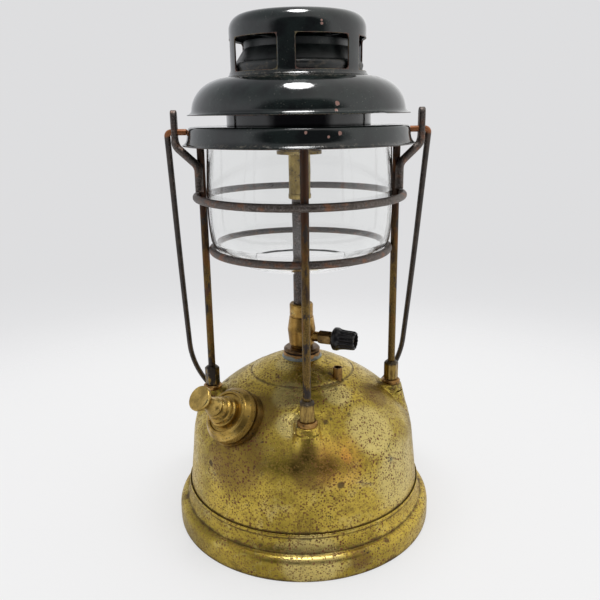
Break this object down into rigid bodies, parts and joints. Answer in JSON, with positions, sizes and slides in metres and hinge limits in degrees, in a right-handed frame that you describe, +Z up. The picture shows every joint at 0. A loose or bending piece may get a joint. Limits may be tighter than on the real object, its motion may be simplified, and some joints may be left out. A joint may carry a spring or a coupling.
{
  "type": "kerosene pressure lantern",
  "caption": "Kerosene pressure lantern: round brass tank with a side pump, glass in a wire cage, vented hood and a swinging bail.",
  "frame": {"origin": "centre of the base, on the floor", "axes": "+Z up along the lantern's axis, -Y the front with the filler and pump at the front left, +X to the right"},
  "size_m": [0.1748, 0.1734, 0.3249],
  "materials": {
    "aged_brass": "aged, pitted, semi-gloss",
    "turned_brass": "turned, lightly tarnished",
    "plated_rod": "worn brass plating over steel, blotched",
    "oxidised_steel": "brown oxide with rust",
    "dark_wire": "dark brown-black, satin",
    "vitreous_enamel": "glossy fired enamel, very dark green, chipped at the edges",
    "clear_glass": "clear, heat-proof",
    "black_bakelite": "moulded, slightly worn",
    "seal_rubber": "matt",
    "cup_leather": "oiled"
  },
  "bodies": {
    "lamp": {"base_ring": "aged_brass", "tank_bottom": "aged_brass", "tank_shell": "aged_brass", "tank_collar": "turned_brass", "post_bosses": "aged_brass", "post_collars": "turned_brass", "post_nuts": "turned_brass", "posts": "plated_rod", "low_ring": "oxidised_steel", "mid_ring": "oxidised_steel", "left_ear": "oxidised_steel", "right_ear": "oxidised_steel", "accessory_socket": "turned_brass", "filler_neck": "turned_brass", "fuel_pickup": "turned_brass", "pickup_filter": "oxidised_steel", "seal_washer": "seal_rubber", "flange_nut": "turned_brass", "control_body": "turned_brass", "gland_nut": "turned_brass", "gland_packing": "seal_rubber", "vaporiser_tube": "oxidised_steel", "vaporiser_jet": "turned_brass"},
    "bail": {"bail_handle": "dark_wire"},
    "glass": {"glass_globe": "clear_glass"},
    "hood": {"top_plate": "vitreous_enamel", "burner_bridge": "oxidised_steel", "mixing_tube": "turned_brass", "burner_head": "turned_brass", "mixing_chamber": "oxidised_steel", "hood_collar": "vitreous_enamel", "hood_dome": "vitreous_enamel", "hood_flue": "vitreous_enamel", "hood_cap": "vitreous_enamel"},
    "control": {"valve_spindle": "turned_brass", "control_knob": "black_bakelite", "knob_screw": "turned_brass"},
    "pricker": {"pricker_needle": "oxidised_steel"},
    "cap_washer": {"filler_washer": "seal_rubber"},
    "filler": {"filler_cap": "turned_brass", "pump_barrel": "turned_brass", "pump_lid": "turned_brass", "non_return_valve": "turned_brass"},
    "piston": {"pump_cup": "cup_leather", "piston_plate": "turned_brass"},
    "pump_handle": {"pump_rod": "turned_brass", "piston_nut": "turned_brass", "pump_knob": "turned_brass"}
  },
  "joints": [
    {"name": "bail_swing", "type": "hinge", "parent": "lamp", "child": "bail", "pos_m": [0, 0, 0.25849], "axis": [1, 0, 0], "range_deg": [0, 321]},
    {"name": "glass_lift", "type": "slide", "parent": "lamp", "child": "glass", "axis": [0, 0, 1], "range_m": [0, 0.09]},
    {"name": "hood_lift", "type": "slide", "parent": "glass", "child": "hood", "axis": [0, 0, 1], "range_m": [0, 0.06]},
    {"name": "control_turn", "type": "hinge", "parent": "lamp", "child": "control", "pos_m": [0, 0, 0.12601], "axis": [0.9085, -0.4179, 0], "range_deg": [0, 180]},
    {"name": "pricker_lift", "type": "slide", "parent": "lamp", "child": "pricker", "axis": [0, 0, 1], "range_m": [0, 0.002]},
    {"name": "filler_draw", "type": "slide", "parent": "lamp", "child": "cap_washer", "axis": [-0.5602, -0.5224, 0.6428], "range_m": [0, 0.075]},
    {"name": "filler_unscrew", "type": "hinge", "parent": "cap_washer", "child": "filler", "pos_m": [-0.04395, -0.04099, 0.08666], "axis": [-0.5602, -0.5224, 0.6428], "range_deg": [0, 1080]},
    {"name": "pump_stroke", "type": "slide", "parent": "filler", "child": "piston", "axis": [-0.5602, -0.5224, 0.6428], "range_m": [0, 0.05]},
    {"name": "pump_twist", "type": "hinge", "parent": "piston", "child": "pump_handle", "pos_m": [-0.04395, -0.04099, 0.08666], "axis": [-0.5602, -0.5224, 0.6428], "continuous": true}
  ],
  "couplings": [
    {"joint": "control_turn", "follows": "pricker_lift", "rad_per_m": 1570.8}
  ]
}
